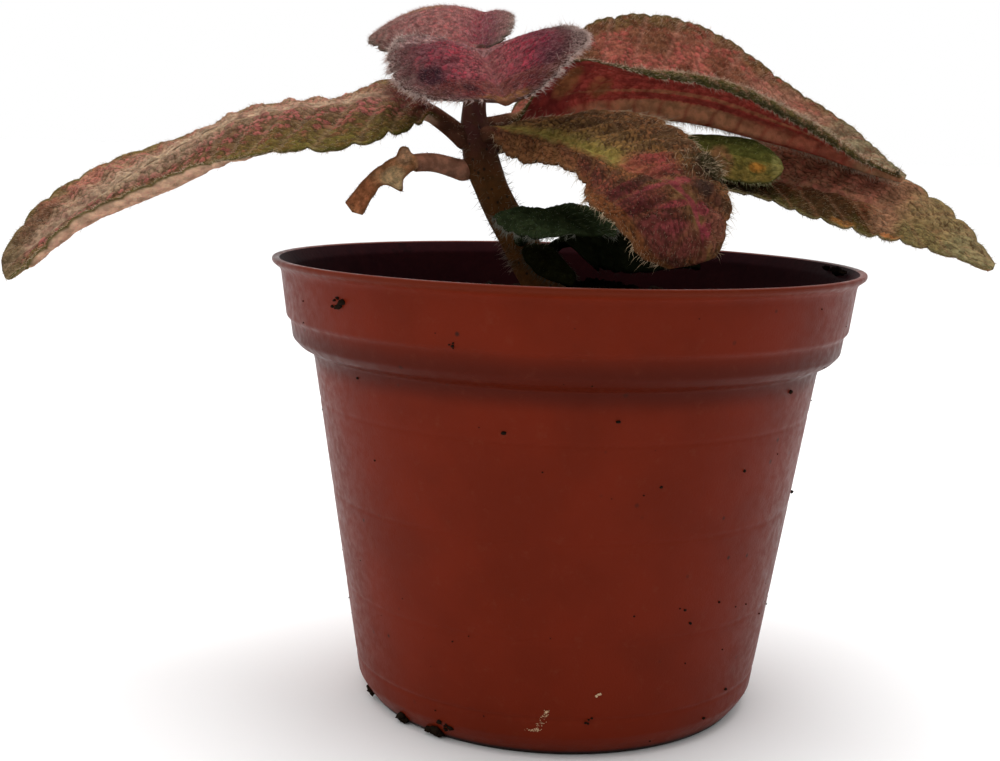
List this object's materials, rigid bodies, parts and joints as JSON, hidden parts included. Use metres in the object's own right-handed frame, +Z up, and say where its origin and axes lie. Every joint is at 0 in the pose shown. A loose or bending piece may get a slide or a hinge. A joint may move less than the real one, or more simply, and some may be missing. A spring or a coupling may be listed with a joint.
{
  "type": "flame violet in its pot",
  "caption": "Potted flame violet: hairy, quilted, copper-coloured leaves arching from a short leaning stem over a tapered round plastic nursery pot filled with dark soil.",
  "frame": {"origin": "the middle of the pot's flat base, on the surface that it stands on", "axes": "+Z up, X along the way the leaves reach furthest, -Y towards the side from which the stem and the front leaf show"},
  "size_m": [0.2041, 0.12, 0.1435],
  "materials": {
    "pot": "satin moulded plastic, a little dusty",
    "soil": "loose dark crumbs",
    "stem": "olive brown, with fine pale hairs",
    "large_leaves": "quilted and hairy, copper with olive margins and pale veins",
    "crown_leaves": "quilted and hairy, deep pink with a dark margin",
    "small_leaves": "bright green",
    "low_leaves": "very dark green, with pale hairs at the edges"
  },
  "bodies": {
    "root": {"pot": "pot", "potting_soil": "soil", "stem": "stem", "cut_leaf_stalk": "stem", "leaf_left": "large_leaves", "leaf_right_upper": "large_leaves", "leaf_right_lower": "large_leaves", "leaf_front": "large_leaves", "leaf_crown_front": "crown_leaves", "leaf_crown_back": "crown_leaves", "leaf_small_green": "small_leaves", "leaf_low_front": "low_leaves", "leaf_low_hanging": "low_leaves", "leaf_low_back": "low_leaves"}
  },
  "joints": []
}
